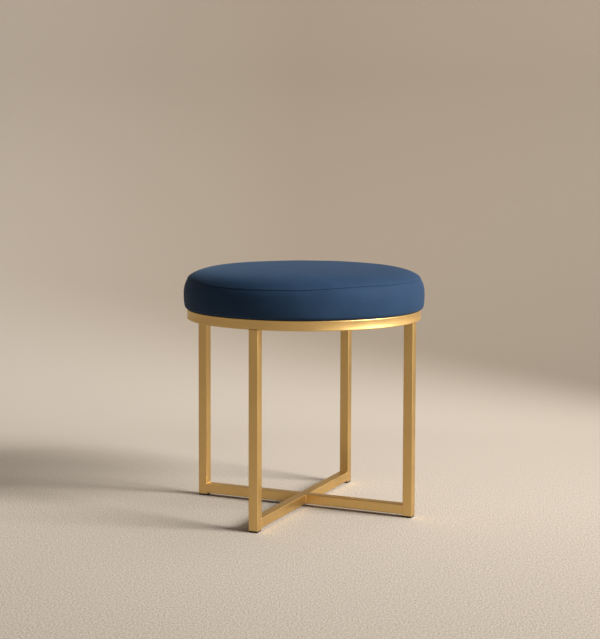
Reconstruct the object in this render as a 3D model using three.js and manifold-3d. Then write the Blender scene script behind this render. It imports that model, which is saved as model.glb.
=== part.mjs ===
import * as THREE from 'three';
import { mergeVertices } from 'three/addons/utils/BufferGeometryUtils.js';
import Module from 'manifold-3d';

// Round vanity stool: a boxed cushion on a welded frame of square tube.
// Millimetres, +Z up. The origin is on the floor under the middle of the seat.
// +X runs along the through crossbar to the right leg, +Y to the back leg.

// Frame
const TUBE_WIDTH = 18;
const TUBE_WALL = 1.2;
const TUBE_CORNER = 1.5;
const BORE_CORNER = 0.5;
const RING_RADIUS = 217;
const LEG_LENGTH = 351.5;
const LEG_PROUD = 0.8;
const CROSSBAR_LIFT = 2;
const VENT_DIAMETER = 6;

// Mounting tabs inside the ring
const TAB_WIDTH = 28;
const TAB_THICKNESS = 3;
const TAB_CORNER = 5;
const TAB_HOLE_INSET = 17;
const TAB_END_MARGIN = 14;

// Foot glides
const GLIDE_THICKNESS = 3.5;
const GLIDE_INSET = 0.8;
const GLIDE_EDGE = 0.6;
const GLIDE_CORNER = 1.2;
const PLUG_LENGTH = 15;
const PLUG_CORE = 11.5;
const PLUG_FIN = 1.2;
const PLUG_FINS = 3;

// Seat screws, washers and tee nuts
const SCREW_DIAMETER = 6;
const SCREW_LENGTH = 18;
const HEAD_DIAMETER = 11;
const HEAD_HEIGHT = 3.4;
const HEAD_CROWN = 1.2;
const SOCKET_WIDTH = 4;
const SOCKET_DEPTH = 2;
const WASHER_DIAMETER = 15;
const WASHER_THICKNESS = 1.6;
const NUT_FLANGE_DIAMETER = 19;
const NUT_FLANGE_THICKNESS = 1.2;
const NUT_BARREL_WALL = 1;
const NUT_LENGTH = 11;
const PRONG_WIDTH = 4;
const PRONG_THICKNESS = 1.2;
const PRONG_LENGTH = 6;
const PRONGS = 4;

// Seat
const BOARD_THICKNESS = 15;
const COVER_OVERHANG = 6;
const COVER_DRAW_IN = 4.6;
const COVER_FOOT_CORNER = 7.5;
const WIDEST_HEIGHT = 25;
const SEAM_HEIGHT = 54;
const SEAM_ALLOWANCE = 9;
const SHOULDER_HEIGHT = 15.8;
const CROWN_HEIGHT = 12.4;
const HEM_WIDTH = 24;
const COVER_CLOTH = 1.2;
const DUST_CLOTH = 0.6;
const DUST_EDGE_INSET = 4;

// Clearances
const FIT_GAP = 0.3;
const HOLE_PLAY = 0.5;
const CUT_OVERRUN = 1;

// Form of the cushion: how late the top turns down, how late the side draws in, and how close
// the panel's facets crowd towards the seam
const SHOULDER_POWER = 12.7;
const DRAW_IN_POWER = 2.5;
const FACET_CROWDING = 1.8;

// Facets
const RING_STEPS = 80;
const SEAT_STEPS = 56;
const PANEL_STEPS = 9;
const BAND_STEPS = 4;
const FOOT_STEPS = 3;
const CORNER_STEPS = 2;
const BORE_CORNER_STEPS = 1;
const ROUND_STEPS = 16;
const HEX_SIDES = 6;

// Worked out from the sizes above
const QUARTER_TURN = Math.PI / 2;
const LEG_COUNT = 4;
const TUBE_BORE = TUBE_WIDTH - 2 * TUBE_WALL;
const RING_INNER_RADIUS = RING_RADIUS - TUBE_WIDTH;
const RING_MIDDLE_RADIUS = RING_RADIUS - TUBE_WIDTH / 2;
const FASTENER_RADIUS = RING_INNER_RADIUS - TAB_HOLE_INSET;
const LEG_RADIUS = RING_MIDDLE_RADIUS + LEG_PROUD;
const LEG_BOTTOM = GLIDE_THICKNESS;
const RING_BOTTOM = LEG_BOTTOM + LEG_LENGTH;
const RING_TOP = RING_BOTTOM + TUBE_WIDTH;
const CROSSBAR_MIDDLE = LEG_BOTTOM + CROSSBAR_LIFT + TUBE_WIDTH / 2;
const SEAT_BOTTOM = RING_TOP + FIT_GAP;
const DUST_BOTTOM = SEAT_BOTTOM - FIT_GAP - DUST_CLOTH;
const TAB_TOP = DUST_BOTTOM - FIT_GAP;
const TAB_BOTTOM = TAB_TOP - TAB_THICKNESS;
const WASHER_BOTTOM = TAB_BOTTOM - WASHER_THICKNESS;
const BOARD_BOTTOM = COVER_CLOTH + FIT_GAP;
const BOARD_TOP = BOARD_BOTTOM + BOARD_THICKNESS;
const SCREW_HOLE = SCREW_DIAMETER + 2 * HOLE_PLAY;
const NUT_BARREL = SCREW_HOLE + 2 * NUT_BARREL_WALL;
const NUT_SEAT = BOARD_TOP - NUT_FLANGE_THICKNESS - FIT_GAP;
const PRONG_RADIUS = (NUT_FLANGE_DIAMETER - PRONG_THICKNESS) / 2 - PRONG_THICKNESS / 2;
const COVER_RADIUS = RING_RADIUS + COVER_OVERHANG;
const COVER_FOOT_RADIUS = bandRadius(COVER_FOOT_CORNER) - COVER_FOOT_CORNER;
const SEAM_RADIUS = bandRadius(SEAM_HEIGHT);
const BOARD_RADIUS = COVER_FOOT_RADIUS;
const HEM_RADIUS = BOARD_RADIUS - HEM_WIDTH;
const DUST_RADIUS = RING_INNER_RADIUS - DUST_EDGE_INSET;

const wasm = await Module();
wasm.setup();

// Materials

function metal(name, color, roughness) {
  return new THREE.MeshStandardMaterial({ name, color, roughness, metalness: 1 });
}

function dull(name, color, roughness) {
  return new THREE.MeshStandardMaterial({ name, color, roughness, metalness: 0 });
}

const GOLD = metal('satin_gold', 0xb48e52, 0.38);
const ZINC = metal('zinc_plate', 0xb9bcc0, 0.35);
const PLASTIC = dull('black_plastic', 0x17171a, 0.6);
const PLYWOOD = dull('plywood', 0xc9a877, 0.75);
const FOAM = dull('foam', 0xe9dfb8, 0.95);
const NAVY = dull('navy_satin_cloth', 0x1f3a5c, 0.55);
const BLACK_CLOTH = dull('black_lining', 0x1b1b1d, 0.9);

// Solids: a closed geometry becomes a solid that can be joined and cut, and back

function solidOf(geometry) {
  const bare = geometry.clone();
  bare.deleteAttribute('normal');
  bare.deleteAttribute('uv');
  const merged = mergeVertices(bare);
  const corners = merged.index.array;
  const kept = [];
  for (let i = 0; i < corners.length; i += 3) {
    const [a, b, c] = [corners[i], corners[i + 1], corners[i + 2]];
    if (a !== b && b !== c && c !== a) kept.push(a, b, c);
  }
  const mesh = new wasm.Mesh({
    numProp: 3,
    vertProperties: new Float32Array(merged.attributes.position.array),
    triVerts: new Uint32Array(kept),
  });
  return new wasm.Manifold(mesh);
}

function geometryOf(solid) {
  const { vertProperties, triVerts } = solid.getMesh();
  const geometry = new THREE.BufferGeometry();
  geometry.setAttribute('position', new THREE.BufferAttribute(vertProperties, 3));
  geometry.setIndex(new THREE.BufferAttribute(triVerts, 1));
  geometry.computeVertexNormals();
  return geometry;
}

function cut(body, ...tools) {
  const rest = tools.reduce((solid, tool) => solid.subtract(solidOf(tool)), solidOf(body));
  return geometryOf(rest);
}

function join(...bodies) {
  const [first, ...others] = bodies.map(solidOf);
  return geometryOf(others.reduce((solid, other) => solid.add(other), first));
}

// Basic forms, each standing on z = 0 unless it says otherwise

// A profile of (radius, height) points turned once round the z axis
function turned(points, steps) {
  return new THREE.LatheGeometry(points, steps).rotateX(QUARTER_TURN);
}

function cylinder(diameter, height, bottom, steps = ROUND_STEPS) {
  const round = new THREE.CylinderGeometry(diameter / 2, diameter / 2, height, steps);
  return round.rotateX(QUARTER_TURN).translate(0, 0, bottom + height / 2);
}

function closeProfile(points) {
  return [...points, points[0].clone()];
}

function point(radius, height) {
  return new THREE.Vector2(radius, height);
}

// A square with rounded corners, counter-clockwise round the origin
function squareOutline(width, corner, steps = CORNER_STEPS) {
  const reach = width / 2 - corner;
  const points = [];
  for (let side = 0; side < 4; side += 1) {
    const diagonal = (side + 1 / 2) * QUARTER_TURN;
    const x = Math.sign(Math.cos(diagonal)) * reach;
    const y = Math.sign(Math.sin(diagonal)) * reach;
    for (let step = 0; step <= steps; step += 1) {
      const turn = (side + step / steps) * QUARTER_TURN;
      points.push(point(x + corner * Math.cos(turn), y + corner * Math.sin(turn)));
    }
  }
  return points;
}

function squareBar(width, corner, length, bottom) {
  const shape = new THREE.Shape(squareOutline(width, corner));
  const bar = new THREE.ExtrudeGeometry(shape, { depth: length, bevelEnabled: false });
  return bar.translate(0, 0, bottom);
}

// A length of hollow square tube, open at both ends, standing on z = 0
function squareTube(length) {
  const shape = new THREE.Shape(squareOutline(TUBE_WIDTH, TUBE_CORNER));
  shape.holes.push(new THREE.Path(squareOutline(TUBE_BORE, BORE_CORNER, BORE_CORNER_STEPS)));
  return new THREE.ExtrudeGeometry(shape, { depth: length, bevelEnabled: false });
}

function named(name, geometry, material) {
  const mesh = new THREE.Mesh(geometry, material);
  mesh.name = name;
  return mesh;
}

// A group turned about the stool's axis by some quarter turns, holding pieces in their own places
function turnedGroup(quarters, ...pieces) {
  const group = new THREE.Group();
  group.rotation.z = quarters * QUARTER_TURN;
  group.add(...pieces);
  return group;
}

// Frame

// The rolled tube: its square section turned round the stool's axis, with its underside on z = 0.
// A vent in the underside opens its bore into each leg.
function ringTube() {
  const section = (outline) => closeProfile(outline.map(
    (place) => point(place.x + RING_MIDDLE_RADIUS, place.y + TUBE_WIDTH / 2),
  ));
  const outline = squareOutline(TUBE_WIDTH, TUBE_CORNER);
  const boreOutline = squareOutline(TUBE_BORE, BORE_CORNER, BORE_CORNER_STEPS);
  const outside = turned(section(outline), RING_STEPS);
  const bore = turned(section(boreOutline), RING_STEPS);
  const vents = [];
  for (let leg = 0; leg < LEG_COUNT; leg += 1) {
    const vent = cylinder(VENT_DIAMETER, TUBE_WALL + 2 * CUT_OVERRUN, -CUT_OVERRUN);
    vents.push(vent.translate(LEG_RADIUS, 0, 0).rotateZ(leg * QUARTER_TURN));
  }
  const ring = named('ring_tube', cut(outside, bore, ...vents), GOLD);
  ring.position.z = RING_BOTTOM;
  return ring;
}

function leg(side) {
  const tube = named(`leg_${side}`, squareTube(LEG_LENGTH).translate(0, 0, -LEG_LENGTH), GOLD);
  tube.position.set(LEG_RADIUS, 0, RING_BOTTOM);
  return tube;
}

// A crossbar between two places on the +X axis of its group
function crossbar(name, from, to) {
  const lying = squareTube(to - from).rotateY(QUARTER_TURN);
  const bar = named(name, lying, GOLD);
  bar.position.set(from, 0, CROSSBAR_MIDDLE);
  return bar;
}

function crossbars() {
  const legFace = LEG_RADIUS - TUBE_WIDTH / 2;
  const group = new THREE.Group();
  group.add(crossbar('crossbar_long', -legFace, legFace));
  group.add(turnedGroup(1, crossbar('crossbar_back', TUBE_WIDTH / 2, legFace)));
  group.add(turnedGroup(3, crossbar('crossbar_front', TUBE_WIDTH / 2, legFace)));
  return group;
}

// A flat lug with a screw hole: rounded at its free end, and hollowed to the ring's inner wall
function mountingTab(number) {
  const outerRadius = RING_INNER_RADIUS - FIT_GAP;
  const innerEnd = FASTENER_RADIUS - TAB_END_MARGIN;
  const spread = Math.asin(TAB_WIDTH / 2 / outerRadius);
  const side = TAB_WIDTH / 2;
  const shape = new THREE.Shape();
  shape.absarc(0, 0, outerRadius, -spread, spread);
  shape.absarc(innerEnd + TAB_CORNER, side - TAB_CORNER, TAB_CORNER, QUARTER_TURN, 2 * QUARTER_TURN);
  shape.absarc(innerEnd + TAB_CORNER, TAB_CORNER - side, TAB_CORNER, 2 * QUARTER_TURN, 3 * QUARTER_TURN);
  const hole = new THREE.Path();
  hole.absarc(FASTENER_RADIUS, 0, SCREW_HOLE / 2, 0, 4 * QUARTER_TURN);
  shape.holes.push(hole);
  const options = { depth: TAB_THICKNESS, bevelEnabled: false, curveSegments: CORNER_STEPS * 3 };
  const tab = named(`mounting_tab_${number}`, new THREE.ExtrudeGeometry(shape, options), GOLD);
  tab.position.z = TAB_BOTTOM;
  return tab;
}

// A plastic insert: a thin flange that shows under the leg, and a finned plug up its bore
function footGlide(side) {
  const width = TUBE_WIDTH - 2 * GLIDE_INSET;
  const flangeShape = new THREE.Shape(squareOutline(width, GLIDE_CORNER));
  const flange = new THREE.ExtrudeGeometry(flangeShape, {
    depth: GLIDE_THICKNESS - 2 * GLIDE_EDGE,
    bevelThickness: GLIDE_EDGE,
    bevelSize: GLIDE_EDGE,
    bevelOffset: -GLIDE_EDGE,
    bevelSegments: 1,
  });
  flange.translate(0, 0, GLIDE_EDGE - GLIDE_THICKNESS);
  const core = squareBar(PLUG_CORE, GLIDE_CORNER, PLUG_LENGTH + GLIDE_EDGE, -GLIDE_EDGE);
  const finWidth = TUBE_BORE - 2 * FIT_GAP;
  const fins = [];
  for (let fin = 1; fin <= PLUG_FINS; fin += 1) {
    const height = (fin * (PLUG_LENGTH - PLUG_FIN / 2)) / (PLUG_FINS + 1 / 2);
    fins.push(squareBar(finWidth, GLIDE_CORNER, PLUG_FIN, height - PLUG_FIN / 2));
  }
  const glide = named(`foot_glide_${side}`, join(flange, core, ...fins), PLASTIC);
  glide.position.set(LEG_RADIUS, 0, LEG_BOTTOM);
  return glide;
}

// Seat screws, washers and tee nuts, each standing on its own seat at the fastener circle

function seatScrew(number) {
  const radius = HEAD_DIAMETER / 2;
  const profile = [
    point(0, -HEAD_HEIGHT),
    point(radius - HEAD_CROWN, -HEAD_HEIGHT),
    point(radius, HEAD_CROWN - HEAD_HEIGHT),
    point(radius, 0),
    point(SCREW_DIAMETER / 2, 0),
    point(SCREW_DIAMETER / 2, SCREW_LENGTH - HEAD_CROWN),
    point(SCREW_DIAMETER / 2 - HEAD_CROWN, SCREW_LENGTH),
    point(0, SCREW_LENGTH),
  ];
  const acrossCorners = SOCKET_WIDTH / Math.cos(Math.PI / HEX_SIDES);
  const socketBottom = -HEAD_HEIGHT - CUT_OVERRUN;
  const socket = cylinder(acrossCorners, SOCKET_DEPTH + CUT_OVERRUN, socketBottom, HEX_SIDES);
  const screw = named(`seat_screw_${number}`, cut(turned(profile, ROUND_STEPS), socket), ZINC);
  screw.position.set(FASTENER_RADIUS, 0, WASHER_BOTTOM);
  return screw;
}

function flatRing(outer, inner, bottom, top) {
  return closeProfile([
    point(inner / 2, bottom),
    point(outer / 2, bottom),
    point(outer / 2, top),
    point(inner / 2, top),
  ]);
}

function screwWasher(number) {
  const profile = flatRing(WASHER_DIAMETER, SCREW_HOLE, -WASHER_THICKNESS, 0);
  const washer = named(`screw_washer_${number}`, turned(profile, ROUND_STEPS), ZINC);
  washer.position.set(FASTENER_RADIUS, 0, TAB_BOTTOM);
  return washer;
}

// The prongs, or with some play the slots that they sit in
function prongs(play) {
  const boxes = [];
  for (let prong = 0; prong < PRONGS; prong += 1) {
    const thickness = PRONG_THICKNESS + 2 * play;
    const length = PRONG_LENGTH + play + NUT_FLANGE_THICKNESS / 2;
    const box = new THREE.BoxGeometry(thickness, PRONG_WIDTH + 2 * play, length);
    box.translate(PRONG_RADIUS, 0, NUT_FLANGE_THICKNESS / 2 - length / 2);
    boxes.push(box.rotateZ(prong * QUARTER_TURN));
  }
  return boxes;
}

function teeNut(number) {
  const radius = NUT_FLANGE_DIAMETER / 2;
  const profile = closeProfile([
    point(SCREW_HOLE / 2, -NUT_LENGTH),
    point(NUT_BARREL / 2, -NUT_LENGTH),
    point(NUT_BARREL / 2, 0),
    point(radius, 0),
    point(radius, NUT_FLANGE_THICKNESS),
    point(SCREW_HOLE / 2, NUT_FLANGE_THICKNESS),
  ]);
  const nut = named(`tee_nut_${number}`, join(turned(profile, ROUND_STEPS), ...prongs(0)), ZINC);
  nut.position.set(FASTENER_RADIUS, 0, SEAT_BOTTOM + NUT_SEAT);
  return nut;
}

// Seat. Heights are above the underside of the cover, which lies on the ring.

// Radius of the side band's outer face: widest below the middle, drawn in to the seam
function bandRadius(height) {
  const reach = (height - WIDEST_HEIGHT) / (SEAM_HEIGHT - WIDEST_HEIGHT);
  return COVER_RADIUS - COVER_DRAW_IN * Math.abs(reach) ** DRAW_IN_POWER;
}

// Outer face of the side band from its turned-under hem to the seam, moved inwards by an inset
function bandProfile(inset) {
  const corner = COVER_FOOT_CORNER - inset;
  const points = [point(HEM_RADIUS, inset)];
  for (let step = 0; step <= FOOT_STEPS; step += 1) {
    const turn = (step / FOOT_STEPS) * QUARTER_TURN;
    const radius = COVER_FOOT_RADIUS + corner * Math.sin(turn);
    points.push(point(radius, COVER_FOOT_CORNER - corner * Math.cos(turn)));
  }
  const last = SEAM_HEIGHT - FIT_GAP / 2 - inset;
  for (let step = 1; step <= BAND_STEPS; step += 1) {
    const height = COVER_FOOT_CORNER + ((last - COVER_FOOT_CORNER) * step) / BAND_STEPS;
    points.push(point(bandRadius(height) - inset, height));
  }
  return points;
}

// Outer face of the top panel from the seam to the middle, moved inwards by an inset:
// a steep shoulder that runs into a shallow crown. An inset edge is mitred to the flat fold.
function panelProfile(inset) {
  const seamSlope = Math.atan2(SHOULDER_POWER * SHOULDER_HEIGHT + 2 * CROWN_HEIGHT, SEAM_RADIUS);
  const base = SEAM_HEIGHT + FIT_GAP / 2 + inset;
  const edge = SEAM_RADIUS - inset / Math.tan(seamSlope / 2);
  const points = [];
  for (let step = 0; step <= PANEL_STEPS; step += 1) {
    const share = 1 - (step / PANEL_STEPS) ** FACET_CROWDING;
    const shoulder = 1 - share ** SHOULDER_POWER;
    const crown = 1 - share ** 2;
    const rise = (SHOULDER_HEIGHT - 2 * inset) * shoulder + CROWN_HEIGHT * crown;
    points.push(point(edge * share, base + rise));
  }
  return points;
}

// The top panel's cloth: its edge is folded in at the seam
function coverTopPanel() {
  const foldRadius = SEAM_RADIUS - SEAM_ALLOWANCE;
  const outside = panelProfile(0);
  const inside = panelProfile(COVER_CLOTH);
  const profile = [
    ...inside.reverse(),
    point(foldRadius, inside.at(-1).y),
    point(foldRadius, outside[0].y),
    ...outside,
  ];
  return named('cover_top_panel', turned(profile, SEAT_STEPS), NAVY);
}

// The side band's cloth: folded in at the seam, and turned under the board at the bottom
function coverSideBand() {
  const foldRadius = SEAM_RADIUS - SEAM_ALLOWANCE;
  const outside = bandProfile(0);
  const inside = bandProfile(COVER_CLOTH);
  const profile = closeProfile([
    ...outside,
    point(foldRadius, outside.at(-1).y),
    point(foldRadius, inside.at(-1).y),
    ...inside.reverse(),
  ]);
  return named('cover_side_band', turned(profile, SEAT_STEPS), NAVY);
}

// The foam fills the cover: crowned, notched round the seam's folds, and brought down
// over the board's edge as far as the turn of the band
function foamPad() {
  const inset = COVER_CLOTH + FIT_GAP;
  const skirt = bandProfile(inset).filter((place) => place.y >= COVER_FOOT_CORNER);
  const dome = panelProfile(inset);
  const boardSide = BOARD_RADIUS + FIT_GAP;
  const notch = SEAM_RADIUS - SEAM_ALLOWANCE - FIT_GAP;
  const profile = [
    point(0, BOARD_TOP + FIT_GAP),
    point(boardSide, BOARD_TOP + FIT_GAP),
    point(boardSide, COVER_FOOT_CORNER),
    ...skirt,
    point(notch, skirt.at(-1).y),
    point(notch, dome[0].y),
    ...dome,
  ];
  return named('foam_pad', turned(profile, SEAT_STEPS), FOAM);
}

// The plywood board: holes for the tee nuts' barrels, recesses for their flanges and prong slots
function seatBoard() {
  const disc = cylinder(2 * BOARD_RADIUS, BOARD_THICKNESS, BOARD_BOTTOM, SEAT_STEPS);
  const tools = [];
  for (let quarter = 0; quarter < LEG_COUNT; quarter += 1) {
    const flange = NUT_FLANGE_DIAMETER + 2 * FIT_GAP;
    const barrel = NUT_BARREL + 2 * FIT_GAP;
    const bore = cylinder(barrel, BOARD_THICKNESS + 2 * CUT_OVERRUN, BOARD_BOTTOM - CUT_OVERRUN);
    const recess = cylinder(flange, BOARD_TOP - NUT_SEAT + CUT_OVERRUN, NUT_SEAT);
    const slots = prongs(FIT_GAP).map((slot) => slot.translate(0, 0, NUT_SEAT));
    for (const tool of [bore, recess, ...slots]) {
      tools.push(tool.translate(FASTENER_RADIUS, 0, 0).rotateZ((quarter + 1 / 2) * QUARTER_TURN));
    }
  }
  return named('seat_board', cut(disc, ...tools), PLYWOOD);
}

// The lining under the board, with a hole round each screw
function dustCover() {
  const disc = cylinder(2 * DUST_RADIUS, DUST_CLOTH, 0, SEAT_STEPS);
  const holes = [];
  for (let quarter = 0; quarter < LEG_COUNT; quarter += 1) {
    const hole = cylinder(SCREW_HOLE, DUST_CLOTH + 2 * CUT_OVERRUN, -CUT_OVERRUN);
    holes.push(hole.translate(FASTENER_RADIUS, 0, 0).rotateZ((quarter + 1 / 2) * QUARTER_TURN));
  }
  const lining = named('dust_cover', cut(disc, ...holes), BLACK_CLOTH);
  lining.position.z = DUST_BOTTOM;
  return lining;
}

// Assembly

function frame() {
  const group = new THREE.Group();
  group.add(ringTube(), crossbars());
  ['right', 'back', 'left', 'front'].forEach((side, quarters) => {
    group.add(turnedGroup(quarters, leg(side), footGlide(side)));
  });
  return group;
}

function seatFixings() {
  const group = new THREE.Group();
  for (let number = 1; number <= LEG_COUNT; number += 1) {
    const pieces = [mountingTab(number), seatScrew(number), screwWasher(number), teeNut(number)];
    group.add(turnedGroup(number - 1 / 2, ...pieces));
  }
  return group;
}

function cushion() {
  const group = new THREE.Group();
  group.add(seatBoard(), foamPad(), coverTopPanel(), coverSideBand());
  group.position.z = SEAT_BOTTOM;
  return group;
}

const stool = new THREE.Group();
stool.add(frame(), seatFixings(), cushion(), dustCover());

export default stool;
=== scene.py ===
import math

import bmesh
import bpy
import numpy as np
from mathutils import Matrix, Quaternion, Vector, noise
from mathutils.bvhtree import BVHTree


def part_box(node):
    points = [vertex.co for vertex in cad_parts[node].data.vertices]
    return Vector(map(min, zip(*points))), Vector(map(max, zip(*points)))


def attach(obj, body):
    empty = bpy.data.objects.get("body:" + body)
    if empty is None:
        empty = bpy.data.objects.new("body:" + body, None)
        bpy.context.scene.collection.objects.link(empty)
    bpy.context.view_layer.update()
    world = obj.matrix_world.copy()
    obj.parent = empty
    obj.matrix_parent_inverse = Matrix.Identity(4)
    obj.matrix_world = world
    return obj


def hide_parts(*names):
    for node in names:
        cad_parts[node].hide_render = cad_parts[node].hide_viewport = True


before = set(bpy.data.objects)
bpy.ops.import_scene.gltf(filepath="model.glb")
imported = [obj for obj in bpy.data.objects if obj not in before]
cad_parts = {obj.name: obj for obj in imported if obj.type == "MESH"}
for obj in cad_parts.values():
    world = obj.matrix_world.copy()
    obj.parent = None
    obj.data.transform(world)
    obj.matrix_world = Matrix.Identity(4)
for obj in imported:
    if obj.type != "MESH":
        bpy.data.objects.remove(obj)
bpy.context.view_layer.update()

# Looks of a round vanity stool: a boxed navy cushion on a satin gold frame of square tube.
# Metres, in the frame's own axes: +Z up, +X to the right leg, +Y to the back leg.

TAU = 2 * math.pi
MM = 0.001
UP = Vector((0, 0, 1))

# Camera, from a fit to the photograph's tube edges and ring arcs
CAMERA_PLACE = Vector((1.0593, -2.4065, 0.6527))
CAMERA_AZIMUTH = math.radians(23.93)
CAMERA_PITCH = math.radians(3.976)
CAMERA_ROLL = math.radians(0.173)
LENS_MM = 80.02
SENSOR_MM = 36
FRAME_SHIFT = -0.10
CAMERA_REACH = 30

# Studio lamps: degrees right of the camera, up, and rolled left; metres away, wide and high; watts
KEY_LAMP = {"right": 69, "up": 26, "roll": 50, "away": 9.0, "wide": 1.8, "high": 4.6, "watts": 1840}
TOP_LAMP = {"right": 105, "up": 60, "roll": 0, "away": 4.0, "wide": 4.0, "high": 3.2, "watts": 66}
KEY_COLOR = (1.0, 0.97, 0.92)
TOP_COLOR = (1.0, 0.98, 0.96)
AMBIENT_COLOR = (0.156, 0.145, 0.134)
BACKDROP_COLOR = (0.46, 0.39, 0.32)

# Stage: a floor that sweeps up into a wall. Its colour holds painted shade: the floor darker towards
# the front, the wall lighter at the left and darker towards the right, with a painted shadow edge
# that starts lower down at the right.
WALL_AWAY = 1.55
SWEEP_RADIUS = 0.9
WALL_HEIGHT = 3.2
FLOOR_FRONT = 3.6
STAGE_HALF_WIDTH = 4.5
SWEEP_STEPS = 24
# Painted shade: the floor's tone darkens from far to near
FLOOR_NEAR_PAINTED_SHADE_COLOR = (0.372, 0.33, 0.283)
FLOOR_FAR_COLOR = (0.463, 0.415, 0.363)
FLOOR_PAINTED_SHADE_NEAR = -0.75
FLOOR_PAINTED_SHADE_FAR = 0.0
# Painted light and shade: the wall lighter at the left and darker towards the right
WALL_LEFT_PAINTED_LIGHT_COLOR = (0.379, 0.331, 0.281)
WALL_MIDDLE_PAINTED_SHADE_COLOR = (0.286, 0.24, 0.194)
WALL_RIGHT_PAINTED_SHADE_COLOR = (0.254, 0.217, 0.176)
WALL_PAINTED_SHADE_REACH = 0.85
# Painted shadow edge: where the floor's tone gives way to the darker wall tone, lower and sharper at
# the right
WALL_PAINTED_SHADOW_EDGE = 0.105
WALL_PAINTED_SHADOW_SLOPE = 0.105
WALL_PAINTED_SHADOW_BLUR = 0.11
WALL_PAINTED_SHADOW_NARROWING = 0.075
# Painted shade at the wall's foot, towards the right, fading out by this height
WALL_FOOT_PAINTED_SHADE = 0.2
WALL_FOOT_PAINTED_SHADE_HEIGHT = 1.0

# The floor's short pile and its light tips, both of which fade out with distance
PILE_SCALE = (250, 160, 250)
PILE_HEIGHT = 0.7 * MM
TIP_SCALE = (420, 170, 420)
TIP_CONTRAST = 0.8
PILE_NEAR = 0.05
PILE_FAR = 0.65
PILE_FAR_SHARE = 0.1

# Sizes that come from the frame
BAND_LOW, BAND_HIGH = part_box("cover_side_band")
PANEL_LOW, PANEL_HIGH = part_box("cover_top_panel")
RING_LOW, RING_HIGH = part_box("ring_tube")
LEG_LOW, LEG_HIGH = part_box("leg_right")
BAR_LOW, BAR_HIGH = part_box("crossbar_long")
BOARD_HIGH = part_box("seat_board")[1]
LINING_LOW, LINING_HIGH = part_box("dust_cover")
TAB_LOW, TAB_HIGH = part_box("mounting_tab_1")
TUBE = LEG_HIGH.y - LEG_LOW.y
RING_RADIUS = RING_HIGH.x
RING_INNER = RING_RADIUS - TUBE
SEAT_BOTTOM = BAND_LOW.z
SEAM_HEIGHT = (BAND_HIGH.z + PANEL_LOW.z) / 2
SEAM_RADIUS = PANEL_HIGH.x
BOARD_RADIUS = BOARD_HIGH.x
LINING_RADIUS = LINING_HIGH.x

# Form of the cushion, as in the solids apart from its crown, which has settled in the middle
COVER_OVERHANG = 6 * MM
COVER_DRAW_IN = 4.6 * MM
WIDEST_ABOVE = 25 * MM
FOOT_CORNER = 7.5 * MM
HEM_WIDTH = 24 * MM
SEAM_FOLD = 9 * MM
CROWN = 12.4 * MM
CROWN_SETTLING = 1.8 * MM
CROWN_POWER = 2.6
SHOULDER_POWER = 12.7
DRAW_IN_POWER = 2.5
WIDEST_RADIUS = RING_RADIUS + COVER_OVERHANG

# Cloth, whose thickness is also the radius of the roll at the seam, and how far things stray
CLOTH = 1.0 * MM
FOAM_GAP = 0.4 * MM
SEAM_GAP = 0.05 * MM
SEAM_PINCH = 0.5 * MM
PINCH_REACH = 4 * MM
SEAM_WAVER = 0.6 * MM
SEAM_RISE = 2.0 * MM
SEAM_DROOP = 4.6 * MM
DROOP_MIDDLE = math.radians(274)
DROOP_REACH = math.radians(34)
WAVER_REACH = 10 * MM
PUCKER = 0.35 * MM
PUCKER_REACH = 9 * MM
UNEVEN = 0.5 * MM
UNEVEN_WAVE = 75 * MM

# Random curves round the stool, each a sum of (share, waves round the stool, seed)
SEAM_WAVES = ((0.75, 11, 1.5), (0.25, 37, 5.5))
PUCKER_WAVES = ((0.7, 90, 3.5), (0.3, 190, 8.5))
LINING_WAVES = ((0.35, 9, 2.5), (0.15, 23, 6.5))
LINING_WAVES_MIDDLE = 0.5

# Mesh steps
ROUND_STEPS = 288
PANEL_ROWS = 48
PANEL_CROWDING = 1.7
BAND_ROWS = 26
FOOT_ROWS = 7
ROLL_STEPS = 4

# Cloth simulation of the cover over its foam
SIM_INSET = 2.5 * MM
SIM_VOXEL = 5 * MM
SIM_FRAMES = 20
SIM_QUALITY = 6
SIM_PRESSURE = 4
SIM_GROWTH = 0.012
SIM_REACH = 20 * MM
SIM_CAP = 30 * MM
SIM_SHARE = 0.07
SIM_SMOOTHING = 12

# Ring, welds, the distance at which corners are joined, lining, staples and stitches
RING_CORNER = 1.5 * MM
CORNER_STEPS = 5
RING_DISH = 0.65 * MM
DISH_STEPS = 8
FILLET = 1.4 * MM
FILLET_STEPS = 6
FILLET_BITE = 0.3 * MM
FLUSH_DEPTH = 0.05 * MM
LUG_WELD_SINK = 0.6 * MM
JOINED_CORNERS = 0.01 * MM
LINING_THICKNESS = 0.25 * MM
LINING_SAG = 2.2 * MM
LINING_SAG_EASING = 0.4
LINING_TAUT_FROM = 0.84
LINING_HEM = 12 * MM
LINING_ROWS = 26
STAPLE_WIDTH = 10 * MM
STAPLE_WIRE = 0.6 * MM
STAPLE_LEG = 3 * STAPLE_WIRE
STAPLE_BEND = 0.5 * STAPLE_WIRE
STAPLE_SIDES = 4
STAPLE_INSET = 3.5 * MM
STAPLE_COUNT = 48
STITCH_PITCH = 3.4 * MM
STITCH_LENGTH = 2.6 * MM
STITCH_THICKNESS = 0.35 * MM
STITCH_DEPTH = 0.75 * CLOTH
STITCH_BOW = 0.25 * CLOTH
STITCH_BLUNTNESS = 1.02
STITCH_ROWS = (-1, -0.6, 0, 0.6, 1)
STITCH_SIDES = 6

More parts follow.
